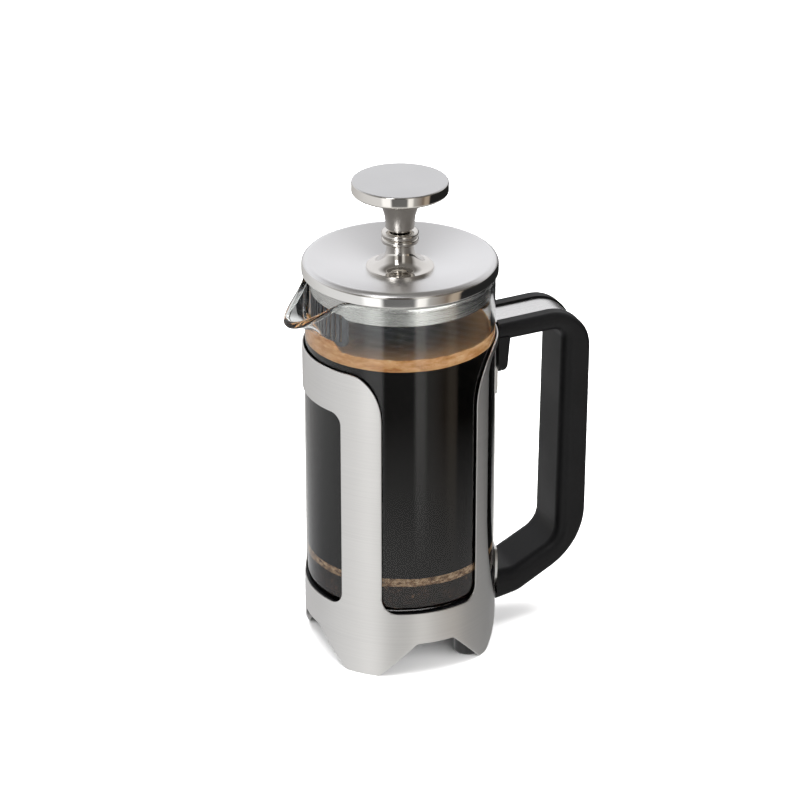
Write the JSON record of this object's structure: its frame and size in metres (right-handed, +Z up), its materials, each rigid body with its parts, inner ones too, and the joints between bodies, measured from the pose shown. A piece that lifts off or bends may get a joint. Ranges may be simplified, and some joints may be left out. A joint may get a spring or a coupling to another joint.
{
  "type": "french press",
  "caption": "Small coffee press: a glass beaker with a pouring spout in a windowed steel frame on legs, with a black side handle, a dished lid and a plunger with a filter.",
  "frame": {"origin": "the beaker's axis at the level of the table, midway between the four feet", "axes": "+Z up along the beaker and plunger, +X towards the handle, -X towards the spout"},
  "size_m": [0.116, 0.0718, 0.1837],
  "materials": {
    "satin_steel": "satin",
    "screw_steel": "satin",
    "lid_steel": "polished",
    "rod_steel": "polished",
    "filter_steel": "satin",
    "mesh_steel": "woven",
    "spring_steel": "polished",
    "chrome": "polished",
    "black_plastic": "fine texture",
    "white_plastic": "smooth",
    "rubber": "matt",
    "glass": "clear"
  },
  "bodies": {
    "frame": {"frame_sleeve": "satin_steel", "base_tray": "black_plastic", "foot_1": "rubber", "foot_2": "rubber", "foot_3": "rubber", "foot_4": "rubber", "handle_strap": "satin_steel", "handle_grip": "black_plastic", "lower_bracket": "satin_steel", "strap_screw": "screw_steel", "grip_screw": "screw_steel"},
    "beaker": {"beaker": "glass"},
    "guide": {"guide_bush": "white_plastic"},
    "lid": {"lid_cap": "lid_steel", "lid_skirt": "lid_steel", "lid_dome": "chrome", "lid_washer": "screw_steel", "lid_nut": "screw_steel"},
    "plunger": {"knob": "chrome", "plunger_rod": "rod_steel", "cross_plate": "filter_steel", "filter_mesh": "mesh_steel", "filter_spring": "spring_steel", "top_plate": "filter_steel", "filter_hub": "filter_steel", "end_nut": "screw_steel"}
  },
  "joints": [
    {"name": "beaker_lift", "type": "slide", "parent": "frame", "child": "beaker", "axis": [0, 0, 1], "range_m": [0, 0.12]},
    {"name": "lid_lift", "type": "slide", "parent": "beaker", "child": "guide", "axis": [0, 0, 1], "range_m": [0, 0.13]},
    {"name": "lid_turn", "type": "hinge", "parent": "guide", "child": "lid", "pos_m": [0, 0, 0.155], "axis": [0, 0, 1], "continuous": true},
    {"name": "plunger_raise", "type": "slide", "parent": "guide", "child": "plunger", "axis": [0, 0, 1], "range_m": [0, 0.084]}
  ]
}
